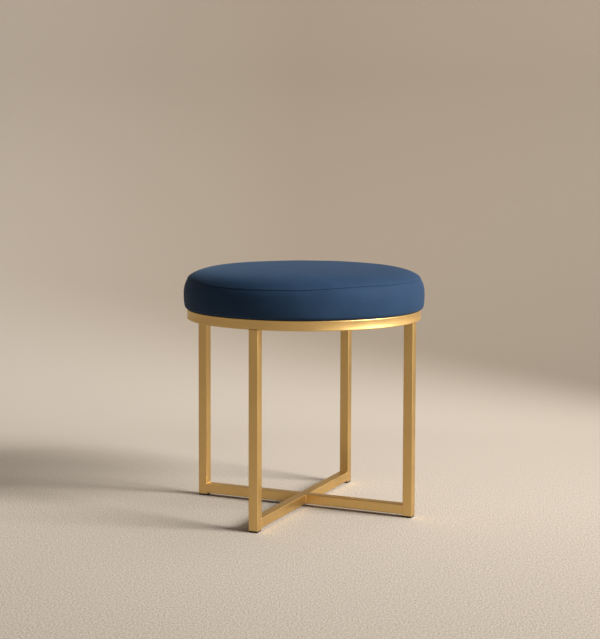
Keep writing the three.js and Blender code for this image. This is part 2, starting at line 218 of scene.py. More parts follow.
# Colours, linear
GOLD_COLOR = (0.68, 0.465, 0.19)
ZINC_COLOR = (0.55, 0.55, 0.57)
PLASTIC_COLOR = (0.012, 0.012, 0.013)
PLY_COLOR = (0.56, 0.38, 0.19)
FOAM_COLOR = (0.8, 0.72, 0.45)
NAVY_COLOR = (0.0182, 0.039, 0.0795)
THREAD_COLOR = (0.02, 0.038, 0.07)
LINING_COLOR = (0.014, 0.014, 0.015)
SHEEN_TINT = (0.35, 0.62, 1.0, 1)
METAL_EDGE_TINT = (0.88, 0.86, 0.8, 1)

# Roughness of the metals, and how far their brush lines change it
GOLD_ROUGHNESS = 0.34
RING_ROUGHNESS = 0.4
WELD_ROUGHNESS = 0.6
ZINC_ROUGHNESS = 0.3
BRUSH_ROUGHNESS = 0.07

# Scales of the patterns, per metre, and the pitch of plies, of threads and of the lining's dots
BRUSH_ACROSS = 2600
BRUSH_ALONG = 28
GRAIN_SCALE = (9, 190, 190)
FOAM_CELL_SCALE = 850
SLUB_SCALE = (900, 140, 140)
TWIST_SCALE = (2200, 5200, 5200)
PLY_THICKNESS = 1.9 * MM
PLY_CONTRAST = 0.12
THREAD_PITCH = 0.55 * MM
DOT_PITCH = 1.1 * MM

# Nearly all values of a noise lie between these two
NOISE_LOW = 0.3
NOISE_HIGH = 0.7

# Sockets of a mix node set to colours, which share their names with its other sockets
MIX_FIRST = 6
MIX_SECOND = 7
MIX_RESULT = 2


# Materials

class Finish:
    """A material with its Principled shader, and short ways to add procedural nodes to it."""

    def __init__(self, name, color, roughness, metallic=0.0, specular=0.5):
        self.color = color
        self.material = bpy.data.materials.new(name)
        self.material.use_nodes = True
        self.tree = self.material.node_tree
        self.shader = self.tree.nodes["Principled BSDF"]
        self.set("Base Color", (*color, 1))
        self.set("Roughness", roughness)
        self.set("Metallic", metallic)
        self.set("Specular IOR Level", specular)

    def set(self, socket, value):
        self.shader.inputs[socket].default_value = value

    def link(self, source, socket):
        self.tree.links.new(source, socket)

    def node(self, kind, **settings):
        made = self.tree.nodes.new(kind)
        for key, value in settings.items():
            setattr(made, key, value)
        return made

    def place(self):
        return self.node("ShaderNodeTexCoord").outputs["Object"]

    def math(self, operation, first, second=0.0):
        made = self.node("ShaderNodeMath", operation=operation)
        for socket, value in zip(made.inputs, (first, second)):
            if isinstance(value, (int, float)):
                socket.default_value = value
            else:
                self.link(value, socket)
        return made.outputs[0]

    def scaled(self, vector, factors):
        """A vector times three fixed factors."""
        made = self.node("ShaderNodeVectorMath", operation="MULTIPLY")
        self.link(vector, made.inputs[0])
        made.inputs[1].default_value = factors
        return made.outputs[0]

    def multiplied(self, color, factor):
        """A colour times a value that varies."""
        made = self.node("ShaderNodeVectorMath", operation="SCALE")
        self.link(color, made.inputs[0])
        self.link(factor, made.inputs["Scale"])
        return made.outputs[0]

    def round_the_axis(self):
        """Coordinates (length round the stool, radius, height)."""
        parts = self.node("ShaderNodeSeparateXYZ")
        self.link(self.place(), parts.inputs[0])
        x, y, z = parts.outputs
        angle = self.math("ARCTAN2", y, x)
        length = self.math("MULTIPLY", angle, RING_RADIUS)
        squares = self.math("ADD", self.math("MULTIPLY", x, x), self.math("MULTIPLY", y, y))
        joined = self.node("ShaderNodeCombineXYZ")
        for socket, value in zip(joined.inputs, (length, self.math("SQRT", squares), z)):
            self.link(value, socket)
        return joined.outputs[0]

    def blend(self, first, second, share):
        """A share of the first value, with the rest of the second."""
        part = self.math("MULTIPLY", first, share)
        return self.math("ADD", part, self.math("MULTIPLY", second, 1 - share))

    def noise(self, vector, scale=1, detail=2.0, roughness=0.5):
        made = self.node("ShaderNodeTexNoise")
        self.link(vector, made.inputs["Vector"])
        made.inputs["Scale"].default_value = scale
        made.inputs["Detail"].default_value = detail
        made.inputs["Roughness"].default_value = roughness
        return made.outputs["Fac"]

    def spread(self, value, low, high, start=NOISE_LOW, end=NOISE_HIGH):
        """Maps a value between start and end to one between low and high."""
        made = self.node("ShaderNodeMapRange")
        self.link(value, made.inputs["Value"])
        made.inputs["From Min"].default_value = start
        made.inputs["From Max"].default_value = end
        made.inputs["To Min"].default_value = low
        made.inputs["To Max"].default_value = high
        return made.outputs["Result"]

    def ramp(self, value, *stops):
        """A colour by a value, from stops of a value and a colour."""
        made = self.node("ShaderNodeValToRGB")
        elements = made.color_ramp.elements
        for _ in stops[2:]:
            elements.new(1.0)
        for element, (position, color) in zip(elements, stops):
            element.position = position
            element.color = (*color, 1)
        self.link(value, made.inputs[0])
        return made.outputs[0]

    def tones(self, value, dark, light):
        """Base colour by a value, from a darker to a lighter shade of the material's own colour."""
        shades = [[part * factor for part in self.color] for factor in (dark, light)]
        color = self.ramp(value, (NOISE_LOW, shades[0]), (NOISE_HIGH, shades[1]))
        self.link(color, self.shader.inputs["Base Color"])

    def rough(self, value, low, high):
        self.link(self.spread(value, low, high), self.shader.inputs["Roughness"])

    def bump(self, height, distance, strength=1.0, over=None):
        made = self.node("ShaderNodeBump")
        made.inputs["Distance"].default_value = distance
        made.inputs["Strength"].default_value = strength
        self.link(height, made.inputs["Height"])
        if over is not None:
            self.link(over, made.inputs["Normal"])
        self.link(made.outputs[0], self.shader.inputs["Normal"])
        return made.outputs[0]


def brushed_metal(name, color, along, roughness):
    """Satin metal with fine brush lines along x, y, z or round the axis."""
    made = Finish(name, color, roughness, metallic=1.0)
    made.set("Specular Tint", METAL_EDGE_TINT)
    base = made.round_the_axis() if along == "round" else made.place()
    axis = {"x": 0, "y": 1, "z": 2, "round": 0}[along]
    factors = [BRUSH_ACROSS] * 3
    factors[axis] = BRUSH_ALONG
    lines = made.noise(made.scaled(base, factors), detail=3)
    clouds = made.noise(made.place(), scale=14, detail=3)
    both = made.blend(lines, clouds, share=0.45)
    made.rough(both, low=roughness - BRUSH_ROUGHNESS, high=roughness + BRUSH_ROUGHNESS)
    made.tones(both, dark=0.93, light=1.05)
    made.bump(lines, distance=0.02 * MM, strength=0.35)
    return made.material


def moulded_plastic():
    made = Finish("black_plastic_look", PLASTIC_COLOR, roughness=0.55)
    grain = made.noise(made.place(), scale=1500, detail=3)
    made.tones(grain, dark=0.8, light=1.5)
    made.rough(grain, low=0.45, high=0.65)
    made.bump(grain, distance=0.08 * MM, strength=0.5)
    return made.material


def plywood():
    """Grain along x on the faces, and darker and lighter plies up the edge."""
    made = Finish("plywood_look", PLY_COLOR, roughness=0.72, specular=0.3)
    grain = made.noise(made.scaled(made.place(), GRAIN_SCALE), detail=5)
    parts = made.node("ShaderNodeSeparateXYZ")
    made.link(made.place(), parts.inputs[0])
    plies = made.math("SINE", made.math("MULTIPLY", parts.outputs[2], math.pi / PLY_THICKNESS))
    both = made.math("ADD", made.math("MULTIPLY", plies, PLY_CONTRAST), grain)
    made.tones(both, dark=0.6, light=1.15)
    made.bump(grain, distance=0.15 * MM, strength=0.5)
    return made.material


def open_foam():
    made = Finish("seat_foam_look", FOAM_COLOR, roughness=0.95, specular=0.2)
    cells = made.node("ShaderNodeTexVoronoi")
    made.link(made.place(), cells.inputs["Vector"])
    cells.inputs["Scale"].default_value = FOAM_CELL_SCALE
    made.tones(cells.outputs["Distance"], dark=0.7, light=1.0)
    made.bump(cells.outputs["Distance"], distance=0.4 * MM, strength=0.7)
    return made.material


def woven(made, vector, pitch):
    """Height of a plain weave in a plane of cloth coordinates."""
    parts = made.node("ShaderNodeSeparateXYZ")
    made.link(vector, parts.inputs[0])
    turns = [made.math("MULTIPLY", parts.outputs[side], math.pi / pitch) for side in (0, 1)]
    warp = made.math("ABSOLUTE", made.math("SINE", turns[0]))
    weft = made.math("ABSOLUTE", made.math("SINE", turns[1]))
    checks = made.node("ShaderNodeTexChecker")
    made.link(vector, checks.inputs["Vector"])
    checks.inputs["Scale"].default_value = 1 / pitch
    over = checks.outputs["Fac"]
    under = made.math("SUBTRACT", 1.0, over)
    return made.math("ADD", made.math("MULTIPLY", warp, over), made.math("MULTIPLY", weft, under))


def navy_cloth(name, round_the_axis):
    """Close-woven cloth with a satin face: soft sheen, faint melange and a little unevenness."""
    made = Finish(name, NAVY_COLOR, roughness=0.62, specular=0.03)
    made.set("Sheen Weight", 0.06)
    made.set("Sheen Roughness", 0.38)
    made.set("Sheen Tint", SHEEN_TINT)
    base = made.round_the_axis() if round_the_axis else made.place()
    if round_the_axis:
        # The weave lies in a plane of x and y, here the length round the stool and the height
        upright = made.node("ShaderNodeMapping")
        upright.inputs["Rotation"].default_value = (math.pi / 2, 0, 0)
        made.link(base, upright.inputs["Vector"])
        base = upright.outputs[0]
    weave = woven(made, base, THREAD_PITCH)
    slubs = made.noise(made.scaled(base, SLUB_SCALE), detail=3)
    clouds = made.noise(made.place(), scale=22, detail=4, roughness=0.6)
    mixed = made.blend(slubs, clouds, share=0.4)
    made.tones(mixed, dark=0.86, light=1.13)
    made.rough(mixed, low=0.55, high=0.68)
    soft = made.bump(clouds, distance=0.5 * MM, strength=0.25)
    made.bump(weave, distance=0.06 * MM, strength=0.5, over=soft)
    return made.material


def seam_thread():
    made = Finish("navy_thread", THREAD_COLOR, roughness=0.5, specular=0.3)
    made.set("Sheen Weight", 0.2)
    twist = made.noise(made.scaled(made.round_the_axis(), TWIST_SCALE))
    made.tones(twist, dark=0.7, light=1.5)
    made.bump(twist, distance=0.05 * MM, strength=0.6)
    return made.material


def black_lining():
    """Thin non-woven cloth: tangled fibres and rows of small pressed dots."""
    made = Finish("black_lining_look", LINING_COLOR, roughness=0.85, specular=0.25)
    fibres = made.noise(made.place(), scale=700, detail=6, roughness=0.7)
    dots = woven(made, made.place(), DOT_PITCH)
    both = made.blend(fibres, dots, share=0.6)
    made.tones(both, dark=0.6, light=2.2)
    made.rough(fibres, low=0.75, high=0.95)
    made.bump(both, distance=0.12 * MM, strength=0.6)
    return made.material


def stage_surface():
    """Short-pile floor that turns to a wall, with painted shade and a painted shadow edge in its
    colour. It can't be seen from behind.
    """
    made = Finish("stage_look", FLOOR_FAR_COLOR, roughness=0.95, specular=0.1)
    parts = made.node("ShaderNodeSeparateXYZ")
    made.link(made.place(), parts.inputs[0])
    right, ahead, up = parts.outputs
    # Painted shade: the floor darker towards the front, lighter further away
    depth = made.spread(ahead, 0.0, 1.0, start=FLOOR_PAINTED_SHADE_NEAR, end=FLOOR_PAINTED_SHADE_FAR)
    floor = made.ramp(depth, (0.0, FLOOR_NEAR_PAINTED_SHADE_COLOR), (1.0, FLOOR_FAR_COLOR))
    # Painted light and shade: the wall's tone runs from lighter at the left to darker at the right
    across = made.spread(right, 0.0, 1.0, start=-WALL_PAINTED_SHADE_REACH, end=WALL_PAINTED_SHADE_REACH)
    wall_painted_shade_colors = (WALL_LEFT_PAINTED_LIGHT_COLOR, WALL_MIDDLE_PAINTED_SHADE_COLOR, WALL_RIGHT_PAINTED_SHADE_COLOR)
    wall = made.ramp(across, *zip((0.0, 0.5, 1.0), wall_painted_shade_colors))
    # Painted shadow edge: it starts lower down and blurs less towards the right
    edge = made.math("SUBTRACT", WALL_PAINTED_SHADOW_EDGE, made.math("MULTIPLY", right, WALL_PAINTED_SHADOW_SLOPE))
    painted_shadow_blur = made.math("SUBTRACT", WALL_PAINTED_SHADOW_BLUR, made.math("MULTIPLY", right, WALL_PAINTED_SHADOW_NARROWING))
    above_painted_shadow_edge = made.math("DIVIDE", made.math("SUBTRACT", up, edge), painted_shadow_blur)
    share = made.spread(above_painted_shadow_edge, 0.0, 1.0, start=-1.0, end=1.0)
    share.node.interpolation_type = "SMOOTHSTEP"
    # Painted shade: the wall darker at its foot, most at the right
    foot = made.spread(up, WALL_FOOT_PAINTED_SHADE, 0.0, start=WALL_PAINTED_SHADOW_EDGE, end=WALL_FOOT_PAINTED_SHADE_HEIGHT)
    wall_painted_foot_shade = made.multiplied(wall, made.math("SUBTRACT", 1.0, made.math("MULTIPLY", across, foot)))
    # The floor's painted shade turns into the wall's at the painted shadow edge
    painted_shade_mix = made.node("ShaderNodeMix", data_type="RGBA")
    made.link(share, painted_shade_mix.inputs["Factor"])
    made.link(floor, painted_shade_mix.inputs[MIX_FIRST])
    made.link(wall_painted_foot_shade, painted_shade_mix.inputs[MIX_SECOND])
    pile_share = made.spread(ahead, 1.0, PILE_FAR_SHARE, start=PILE_NEAR, end=PILE_FAR)
    pile = made.noise(made.scaled(made.place(), PILE_SCALE), roughness=0.6)
    made.bump(made.math("MULTIPLY", pile, pile_share), distance=PILE_HEIGHT)
    tips = made.noise(made.scaled(made.place(), TIP_SCALE), detail=1)
    contrast = made.math("MULTIPLY", pile_share, TIP_CONTRAST)
    light = made.math("MULTIPLY", made.math("SUBTRACT", tips, 0.5), contrast)
    # Real pile tips speckle this tone, which also holds the painted shade
    speckled = made.multiplied(painted_shade_mix.outputs[MIX_RESULT], made.math("ADD", light, 1.0))
    made.link(speckled, made.shader.inputs["Base Color"])
    side = made.node("ShaderNodeNewGeometry").outputs["Backfacing"]
    clear = made.node("ShaderNodeBsdfTransparent")
    mixed = made.node("ShaderNodeMixShader")
    made.link(side, mixed.inputs[0])
    made.link(made.shader.outputs[0], mixed.inputs[1])
    made.link(clear.outputs[0], mixed.inputs[2])
    made.link(mixed.outputs[0], made.tree.nodes["Material Output"].inputs["Surface"])
    return made.material


# Mesh helpers

def mesh_object(name, points, faces, material):
    mesh = bpy.data.meshes.new(name)
    mesh.from_pydata([tuple(place) for place in points], [], faces)
    mesh.validate()
    made = bmesh.new()
    made.from_mesh(mesh)
    bmesh.ops.recalc_face_normals(made, faces=made.faces)
    made.to_mesh(mesh)
    made.free()
    mesh.shade_smooth()
    mesh.materials.append(material)
    piece = bpy.data.objects.new(name, mesh)
    bpy.context.collection.objects.link(piece)
    return piece


def smoothed_edges(piece, degrees):
    """Flat faces stay flat, and only corners below this angle are shaded round."""
    piece.data.set_sharp_from_angle(angle=math.radians(degrees))
    normals = piece.modifiers.new("flat_faces", "WEIGHTED_NORMAL")
    normals.keep_sharp = True


def around(steps=ROUND_STEPS):
    return np.arange(steps) * TAU / steps


def turned(name, radii, heights, material, poles):
    """A closed mesh whose rows of points go round the axis. With poles, the first and last row
    are one point each; without, the last row joins the first."""
    rows, steps = radii.shape
    angles = around(steps)
    places = np.stack([radii * np.cos(angles), radii * np.sin(angles), heights], axis=2)

    def quad(row, next_row, step):
        after = (step + 1) % steps
        first, second = row * steps, next_row * steps
        return first + step, first + after, second + after, second + step

    if not poles:
        faces = [quad(row, (row + 1) % rows, step) for row in range(rows) for step in range(steps)]
        return mesh_object(name, places.reshape(-1, 3), faces, material)
    middle = places[1:-1].reshape(-1, 3)
    first, last = places[0].mean(axis=0), places[-1].mean(axis=0)
    points = np.vstack([middle, first, last])
    inner_rows = rows - 2
    faces = []
    for step in range(steps):
        after = (step + 1) % steps
        faces.extend(quad(row, row + 1, step) for row in range(inner_rows - 1))
        end = (inner_rows - 1) * steps
        faces.append((len(middle), step, after))
        faces.append((len(middle) + 1, end + after, end + step))
    return mesh_object(name, points, faces, material)


def spun(profile):
    """Radii and heights of a profile with the same shape all round."""
    profile = np.array(profile)
    ones = np.ones(ROUND_STEPS)
    return np.outer(profile[:, 0], ones), np.outer(profile[:, 1], ones)


def swept_faces(faces, start, rows, sides):
    """Joins rows of points, each a loop of as many sides, to a tube with closed ends."""
    for row in range(rows - 1):
        for side in range(sides):
            first = start + row * sides + side
            second = start + row * sides + (side + 1) % sides
            faces.append((first, second, second + sides, first + sides))
    faces.append(tuple(range(start, start + sides))[::-1])
    end = start + (rows - 1) * sides
    faces.append(tuple(range(end, end + sides)))


def directions(angle):
    """Outwards, and sideways round the stool."""
    out = Vector((math.cos(angle), math.sin(angle), 0))
    return out, Vector((-math.sin(angle), math.cos(angle), 0))


def wander(waves, seed):
    """A smooth random curve round the stool that meets itself, between about -1 and 1."""
    reach = waves / TAU
    return np.array([
        noise.noise(Vector((reach * math.cos(angle), reach * math.sin(angle), seed)))
        for angle in around()
    ])


def wander_sum(parts, middle=0.0):
    """Random curves, each taken by its share and added to a middle value."""
    return sum((share * wander(waves, seed) for share, waves, seed in parts), middle)


def add_piece(piece, slot, *nodes):
    """Puts a piece on the stool's one body, in place of the nodes named, if any are."""
    if nodes:
        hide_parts(*nodes)
    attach(piece, "root")
    return piece


# Cushion profiles, as (radius, height) from the middle or the hem to the seam

def panel_profile(inset):
    """A steep shoulder that runs into a shallow crown. An inset edge is mitred to the flat fold."""
    base = SEAM_HEIGHT + CLOTH + inset
    shoulder = PANEL_HIGH.z - SEAM_HEIGHT - CLOTH - CROWN
    slope = math.atan2(SHOULDER_POWER * shoulder + CROWN_POWER * CROWN, SEAM_RADIUS)
    edge = SEAM_RADIUS - inset / math.tan(slope / 2)
    shares = 1 - (np.arange(PANEL_ROWS, -1, -1) / PANEL_ROWS) ** PANEL_CROWDING
    crown = (CROWN - CROWN_SETTLING) * (1 - shares ** CROWN_POWER)
    heights = base + (shoulder - 2 * inset) * (1 - shares ** SHOULDER_POWER) + crown
    return np.stack([edge * shares, heights], axis=1)


def band_radius(above):
    """Radius of the band's outer face at a height above the seat's underside."""
    reach = abs(above - WIDEST_ABOVE) / (SEAM_HEIGHT - SEAT_BOTTOM - WIDEST_ABOVE)
    return WIDEST_RADIUS - COVER_DRAW_IN * reach ** DRAW_IN_POWER


FOOT_RADIUS = band_radius(FOOT_CORNER) - FOOT_CORNER


def band_profile(inset):
    """From the turned-under foot, round its corner and up to the seam."""
    corner = FOOT_CORNER - inset
    points = []
    for step in range(FOOT_ROWS + 1):
        turn = step / FOOT_ROWS * TAU / 4
        radius = FOOT_RADIUS + corner * math.sin(turn)
        points.append((radius, SEAT_BOTTOM + FOOT_CORNER - corner * math.cos(turn)))
    top = SEAM_HEIGHT - SEAT_BOTTOM - CLOTH - inset
    for step in range(1, BAND_ROWS + 1):
        above = FOOT_CORNER + (top - FOOT_CORNER) * step / BAND_ROWS
        points.append((band_radius(above) - inset, SEAT_BOTTOM + above))
    return np.array(points)


def outward(profile, flip):
    """Unit normals of a profile, to the right of its direction or, flipped, to the left."""
    run = np.gradient(profile, axis=0)
    run /= np.linalg.norm(run, axis=1, keepdims=True)
    normals = np.stack([run[:, 1], -run[:, 0]], axis=1)
    return -normals if flip else normals


# Cloth simulation

def remeshed(piece):
    voxels = piece.modifiers.new("voxels", "REMESH")
    voxels.mode = "VOXEL"
    voxels.voxel_size = SIM_VOXEL
    graph = bpy.context.evaluated_depsgraph_get()
    mesh = bpy.data.meshes.new_from_object(piece.evaluated_get(graph))
    piece.modifiers.clear()
    piece.data = mesh


def hold(piece):
    """Pins the cover where it is sewn at the seam and stapled under the board."""
    group = piece.vertex_groups.new(name="held")
    for vertex in piece.data.vertices:
        radius = math.hypot(vertex.co.x, vertex.co.y)
        level = abs(vertex.co.z - SEAM_HEIGHT) < SIM_VOXEL / 2
        sewn = level and radius > SEAM_RADIUS - SEAM_FOLD
        stapled = vertex.co.z < SEAT_BOTTOM + FOOT_CORNER / 2
        if sewn or stapled:
            group.add([vertex.index], 1.0, "REPLACE")


def inflated_cover():
    """The cover pressed out by its foam: a search tree over the simulated surface."""
    band = band_profile(SIM_INSET)
    panel = panel_profile(SIM_INSET)[::-1]
    foot = np.array([(0, band[0][1])])
    radii, heights = spun(np.vstack([foot, band, panel]))
    body = turned("cover_trial", radii, heights, None, poles=True)
    remeshed(body)
    hold(body)
    cloth = body.modifiers.new("cloth", "CLOTH")
    cloth.settings.use_pressure = True
    cloth.settings.uniform_pressure_force = SIM_PRESSURE
    cloth.settings.effector_weights.gravity = 0
    cloth.settings.shrink_min = -SIM_GROWTH
    cloth.settings.vertex_group_mass = "held"
    cloth.settings.quality = SIM_QUALITY
    scene = bpy.context.scene
    for number in range(1, SIM_FRAMES + 1):
        scene.frame_set(number)
    graph = bpy.context.evaluated_depsgraph_get()
    shape = bpy.data.meshes.new_from_object(body.evaluated_get(graph))
    places = [vertex.co for vertex in shape.vertices]
    tree = BVHTree.FromPolygons(places, [face.vertices for face in shape.polygons])
    bpy.data.objects.remove(body)
    scene.frame_set(1)
    return tree


def swelling(tree, profile, normals):
    """A share of how far the foam has pressed the cover out, for each row and step round."""
    found = np.zeros((len(profile), ROUND_STEPS))
    if tree is None:
        return found
    for row, ((radius, height), (out, up)) in enumerate(zip(profile, normals)):
        for step, angle in enumerate(around()):
            across, along = math.cos(angle), math.sin(angle)
            normal = Vector((out * across, out * along, up))
            start = Vector((radius * across, radius * along, height)) - normal * SIM_REACH
            distance = tree.ray_cast(start, normal, 2 * SIM_REACH)[3]
            if distance is not None:
                found[row, step] = distance - SIM_REACH + SIM_INSET
    for _ in range(SIM_SMOOTHING):
        found = (np.roll(found, 1, axis=1) + found + np.roll(found, -1, axis=1)) / 3
        rows = np.pad(found, ((1, 1), (0, 0)), mode="edge")
        found = (rows[:-2] + rows[1:-1] + rows[2:]) / 3
    return SIM_SHARE * np.clip(found, 0, SIM_CAP)


def unevenness(profile):
    """Slight dips and rises of the foam, for each row and step round."""
    found = np.zeros((len(profile), ROUND_STEPS))
    for step, angle in enumerate(around()):
        across, along = math.cos(angle) / UNEVEN_WAVE, math.sin(angle) / UNEVEN_WAVE
        for row, (radius, height) in enumerate(profile):
            place = Vector((radius * across, radius * along, height / UNEVEN_WAVE))
            found[row, step] = noise.noise(place)
    return UNEVEN * found


def seam_waver():
    """How far the seam strays from its level: low at the front leg, a little high elsewhere."""
    off = (around() - DROOP_MIDDLE + math.pi) % TAU - math.pi
    droop = np.exp(-(off / DROOP_REACH) ** 4)
    return SEAM_RISE - SEAM_DROOP * droop + SEAM_WAVER * wander_sum(SEAM_WAVES)


def surface(profile, flip, tree):
    """Lift along the normal and rise of each row, with the seam's pinch, puckers and waver."""
    normals = outward(profile, flip)
    steps_out = np.linalg.norm(np.diff(profile, axis=0), axis=1)
    to_seam = np.append(np.cumsum(steps_out[::-1])[::-1], 0.0)[:, None]
    pinched = np.exp(-(to_seam / PINCH_REACH) ** 2)
    free = 1 - pinched
    lift = (swelling(tree, profile, normals) + unevenness(profile)) * free - SEAM_PINCH * pinched
    lift += PUCKER * wander_sum(PUCKER_WAVES) * np.exp(-to_seam / PUCKER_REACH) * free
    up = seam_waver() * np.exp(-(to_seam / WAVER_REACH) ** 2)
    return normals, lift, up


def lifted(profile, dressed):
    """Where the seam rises it slides up the shoulder, so it moves in as far as it rises."""
    normals, lift, up = dressed
    radii = profile[:, :1] + normals[:, :1] * lift - np.maximum(up, 0)
    return radii, profile[:, 1:] + normals[:, 1:] * lift + up


def seam_rows(dressed, points):
    """Rows at the seam's roll and fold: they keep their form and follow the last dressed row."""
    normals, lift, up = dressed
    radii = np.array([[radius] for radius, _ in points]) + normals[-1, 0] * lift[-1]
    heights = np.array([[height] for _, height in points]) + up[-1]
    return radii - np.maximum(up[-1], 0), heights


def stack(*parts):
    return np.vstack([part[0] for part in parts]), np.vstack([part[1] for part in parts])


def reverse(rows):
    return rows[0][::-1], rows[1][::-1]


def seam_roll(side):
    """The cloth's outer face from the seam's edge round its roll to the fold, above or below."""
    level = SEAM_HEIGHT + side * SEAM_GAP
    points = []
    for step in range(1, ROLL_STEPS + 1):
        turn = step / ROLL_STEPS * TAU / 4
        radius = SEAM_RADIUS - CLOTH + CLOTH * math.cos(turn)
        points.append((radius, level + side * CLOTH * (1 - math.sin(turn))))
    points.append((SEAM_RADIUS - SEAM_FOLD, level))
    points.append((SEAM_RADIUS - SEAM_FOLD, level + side * CLOTH))
    return points


def top_panel(dressed, material):
    outside = lifted(panel_profile(0), dressed)
    inside = lifted(panel_profile(CLOTH), dressed)
    fold = seam_rows(dressed, seam_roll(1))
    radii, heights = stack(outside, fold, reverse(inside))
    piece = turned("cushion_top_panel", radii, heights, material, poles=True)
    return add_piece(piece, "navy_cloth", "cover_top_panel")


def side_band(dressed, material):
    hem_radius = BOARD_RADIUS - HEM_WIDTH
    outside = lifted(band_profile(0), dressed)
    inside = lifted(band_profile(CLOTH), dressed)
    fold = seam_rows(dressed, seam_roll(-1))
    hem = spun([(hem_radius, SEAT_BOTTOM)])
    raw_edge = spun([(hem_radius, SEAT_BOTTOM + CLOTH)])
    radii, heights = stack(hem, outside, fold, reverse(inside), raw_edge)
    piece = turned("cushion_side_band", radii, heights, material, poles=False)
    return add_piece(piece, "navy_cloth", "cover_side_band")


def foam_core(panel_dress, band_dress):
    """Foam that fills the cover: notched round the seam's folds, brought down over the board."""
    inset = CLOTH + FOAM_GAP
    skirt = lifted(band_profile(inset), band_dress)
    skirt = (skirt[0][FOOT_ROWS:], skirt[1][FOOT_ROWS:])
    dome = reverse(lifted(panel_profile(inset), panel_dress))
    notch = SEAM_RADIUS - SEAM_FOLD - FOAM_GAP
    notch_low = spun([(notch, SEAM_HEIGHT - 2 * CLOTH)])
    notch_high = spun([(notch, SEAM_HEIGHT + 2 * CLOTH)])
    seat = BOARD_HIGH.z + FOAM_GAP
    side = BOARD_RADIUS + FOAM_GAP
    skirt_foot = (side, SEAT_BOTTOM + FOOT_CORNER)
    underside = spun([(0, seat), (side / 2, seat), (side, seat), skirt_foot])
    radii, heights = stack(underside, skirt, notch_low, notch_high, dome)
    piece = turned("foam_core", radii, heights, open_foam(), poles=True)
    return add_piece(piece, "seat_foam", "foam_pad")


def seam_stitches(dressed):
    """A run of short stitches, deep in the seam's groove."""
    up = dressed[2]
    count = round(TAU * SEAM_RADIUS / STITCH_PITCH)
    points, faces = [], []
    for number in range(count):
        middle = number * TAU / count
        step = middle / TAU * ROUND_STEPS
        rise = np.interp(step, np.arange(ROUND_STEPS), up[-1])
        radius = SEAM_RADIUS - SEAM_PINCH - STITCH_DEPTH - max(rise, 0)
        half = STITCH_LENGTH / 2 / radius
        swept_faces(faces, len(points), len(STITCH_ROWS), STITCH_SIDES)
        for share in STITCH_ROWS:
            angle = middle + half * share
            thick = STITCH_THICKNESS * math.sqrt(STITCH_BLUNTNESS - share ** 2)
            bow = radius - STITCH_BOW * share ** 2
            for side in range(STITCH_SIDES):
                turn = side / STITCH_SIDES * TAU
                out = bow + thick * math.cos(turn)
                height = SEAM_HEIGHT + rise + thick * math.sin(turn)
                points.append((out * math.cos(angle), out * math.sin(angle), height))
    piece = mesh_object("seam_stitches", points, faces, seam_thread())
    return add_piece(piece, "navy_cloth")


def cushion():
    tree = inflated_cover()
    panel_dress = surface(panel_profile(0), True, tree)
    band_dress = surface(band_profile(0), False, tree)
    top_panel(panel_dress, navy_cloth("navy_cloth_top", False))
    side_band(band_dress, navy_cloth("navy_cloth_band", True))
    foam_core(panel_dress, band_dress)
    seam_stitches(panel_dress)


# Frame

def ring_section():
    """The tube's rounded square round (0, 0). Rolling has dished its outer face a little."""
    reach = TUBE / 2 - RING_CORNER
    points = []
    for side in range(4):
        diagonal = (side + 0.5) * TAU / 4
        x = math.copysign(reach, math.cos(diagonal))
        y = math.copysign(reach, math.sin(diagonal))
        for step in range(CORNER_STEPS + 1):
            turn = (side + step / CORNER_STEPS) * TAU / 4
            points.append((x + RING_CORNER * math.cos(turn), y + RING_CORNER * math.sin(turn)))
    for step in range(1, DISH_STEPS):
        along = 2 * step / DISH_STEPS - 1
        points.append((TUBE / 2 - RING_DISH * (1 - along ** 2), reach * along))
    return points


def rolled_ring(material):
    middle = RING_RADIUS - TUBE / 2
    level = (RING_LOW.z + RING_HIGH.z) / 2
    section = [(middle + out, level + up) for out, up in ring_section()]
    radii, heights = spun(section)
    piece = turned("ring_tube_rolled", radii, heights, material, poles=False)
    smoothed_edges(piece, degrees=60)
    return add_piece(piece, "satin_gold", "ring_tube")


def fillet_outline():
    """The section of a concave weld fillet between two faces that meet along an edge."""
    outline = [(-FILLET_BITE, -FILLET_BITE), (FILLET, -FILLET_BITE)]
    for step in range(FILLET_STEPS + 1):
        turn = step / FILLET_STEPS * TAU / 4
        outline.append((FILLET * (1 - math.sin(turn)), FILLET * (1 - math.cos(turn))))
    outline.append((-FILLET_BITE, FILLET))
    return outline


def flush_outline():
    """The section of a weld dressed flush, in the groove along a tube's rounded corner."""
    inner, outer = -FILLET_BITE, RING_CORNER
    low, high = -RING_CORNER, -FLUSH_DEPTH
    return [(inner, low), (outer, low), (outer, high), (inner, high)]


def weld_strip(points, faces, outline, corner, along, first_side, second_side, length):
    """A straight length of a weld's section, centred on the corner between two sides."""
    swept_faces(faces, len(points), 2, len(outline))
    for end in (-0.5, 0.5):
        for first, second in outline:
            points.append(corner + along * (end * length) + first_side * first + second_side * second)


